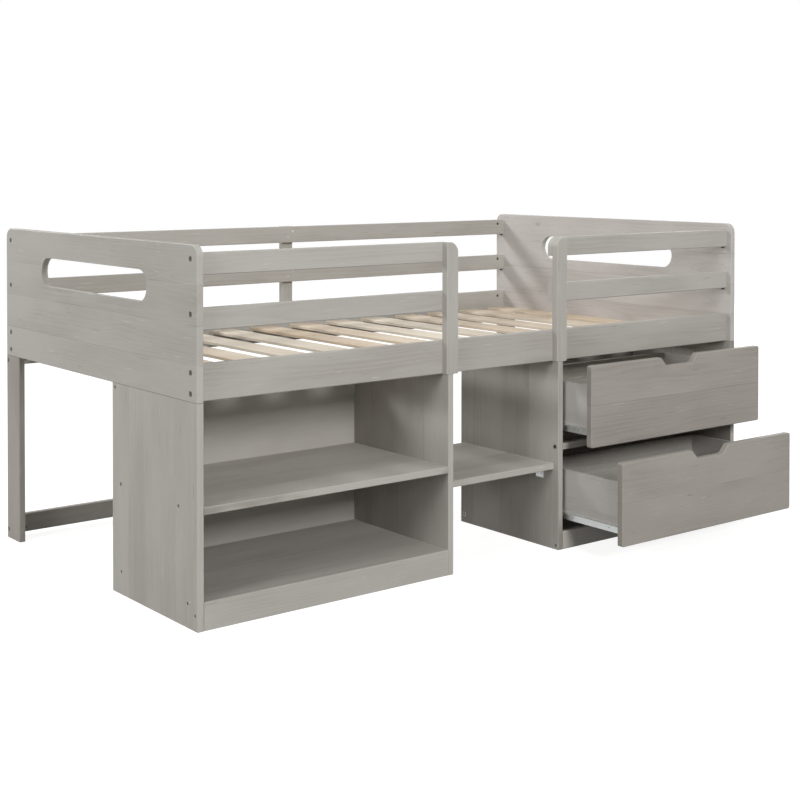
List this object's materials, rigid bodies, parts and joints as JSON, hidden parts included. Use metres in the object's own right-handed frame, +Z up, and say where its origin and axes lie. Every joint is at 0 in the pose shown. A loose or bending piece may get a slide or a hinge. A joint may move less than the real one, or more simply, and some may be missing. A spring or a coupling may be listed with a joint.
{
  "type": "low loft bed",
  "caption": "Low loft bed with guard rails and a slatted base on a bookcase and a drawer chest, a shelf between them and rear legs.",
  "frame": {"origin": "on the floor, midway along the bed and midway between the back of the bed and the face of the lower drawer as it stands open", "axes": "+X along the bed to the drawer end, +Y from the front to the back, +Z up"},
  "size_m": [1.96, 1.303, 0.905],
  "materials": {
    "grey_pine": "pine under a warm grey wash with faint grain",
    "grey_board": "thin board with a warm grey wash",
    "bare_pine": "planed bare pine with knots",
    "zinc_steel": "bright zinc plate",
    "nylon": "white nylon",
    "dark_steel": "dark bolt steel"
  },
  "bodies": {
    "bed": {"left_end_panel": "grey_pine", "right_end_panel": "grey_pine", "front_left_top_rail": "grey_pine", "front_left_mid_rail": "grey_pine", "front_right_top_rail": "grey_pine", "front_right_mid_rail": "grey_pine", "back_top_rail": "grey_pine", "back_mid_rail": "grey_pine", "front_side_board": "grey_pine", "back_side_board": "grey_pine", "front_left_guard_post": "grey_pine", "front_right_guard_post": "grey_pine", "back_guard_post": "grey_pine", "front_slat_cleat": "grey_pine", "back_slat_cleat": "grey_pine", "bed_slats": "bare_pine", "left_back_leg": "grey_pine", "right_back_leg": "grey_pine", "back_upper_rail": "grey_pine", "back_stretcher": "grey_pine", "bookcase_left_side": "grey_pine", "bookcase_right_side": "grey_pine", "bookcase_shelf": "grey_pine", "bookcase_floor": "grey_pine", "bookcase_plinth": "grey_pine", "bookcase_stay": "grey_pine", "bookcase_back": "grey_board", "chest_left_side": "grey_pine", "chest_right_side": "grey_pine", "chest_rail": "grey_pine", "chest_plinth": "grey_pine", "chest_lower_stay": "grey_pine", "chest_upper_stay": "grey_pine", "chest_back": "grey_board", "middle_shelf": "grey_pine", "shelf_brackets": "zinc_steel", "upper_chest_channels": "zinc_steel", "lower_chest_channels": "zinc_steel", "bed_bolts": "dark_steel"},
    "upper_drawer": {"upper_drawer_front": "grey_pine", "upper_drawer_left_side": "grey_pine", "upper_drawer_right_side": "grey_pine", "upper_drawer_back": "grey_pine", "upper_drawer_bottom": "grey_board", "upper_drawer_angles": "zinc_steel"},
    "lower_drawer": {"lower_drawer_front": "grey_pine", "lower_drawer_left_side": "grey_pine", "lower_drawer_right_side": "grey_pine", "lower_drawer_back": "grey_pine", "lower_drawer_bottom": "grey_board", "lower_drawer_angles": "zinc_steel"},
    "upper_front_rollers": {"upper_front_rollers": "nylon"},
    "upper_rear_rollers": {"upper_rear_rollers": "nylon"},
    "lower_front_rollers": {"lower_front_rollers": "nylon"},
    "lower_rear_rollers": {"lower_rear_rollers": "nylon"}
  },
  "joints": [
    {"name": "upper_drawer_slide", "type": "slide", "parent": "bed", "child": "upper_drawer", "axis": [0, -1, 0], "range_m": [-0.108, 0.152]},
    {"name": "upper_front_rollers_turn", "type": "hinge", "parent": "bed", "child": "upper_front_rollers", "pos_m": [0.5905, -0.3995, 0.3458], "axis": [1, 0, 0], "range_deg": [-826.06, 1162.19]},
    {"name": "upper_rear_rollers_turn", "type": "hinge", "parent": "upper_drawer", "child": "upper_rear_rollers", "pos_m": [0.5905, -0.1775, 0.3426], "axis": [1, 0, 0], "range_deg": [-826.06, 1162.19]},
    {"name": "lower_drawer_slide", "type": "slide", "parent": "bed", "child": "lower_drawer", "axis": [0, -1, 0], "range_m": [-0.223, 0.037]},
    {"name": "lower_front_rollers_turn", "type": "hinge", "parent": "bed", "child": "lower_front_rollers", "pos_m": [0.5905, -0.3995, 0.0948], "axis": [1, 0, 0], "range_deg": [-1704.59, 283.66]},
    {"name": "lower_rear_rollers_turn", "type": "hinge", "parent": "lower_drawer", "child": "lower_rear_rollers", "pos_m": [0.5905, -0.2925, 0.0916], "axis": [1, 0, 0], "range_deg": [-1704.59, 283.66]}
  ],
  "couplings": [
    {"joint": "upper_front_rollers_turn", "follows": "upper_drawer_slide", "rad_per_m": 133.33},
    {"joint": "upper_rear_rollers_turn", "follows": "upper_drawer_slide", "rad_per_m": 133.33},
    {"joint": "lower_front_rollers_turn", "follows": "lower_drawer_slide", "rad_per_m": 133.33},
    {"joint": "lower_rear_rollers_turn", "follows": "lower_drawer_slide", "rad_per_m": 133.33}
  ]
}
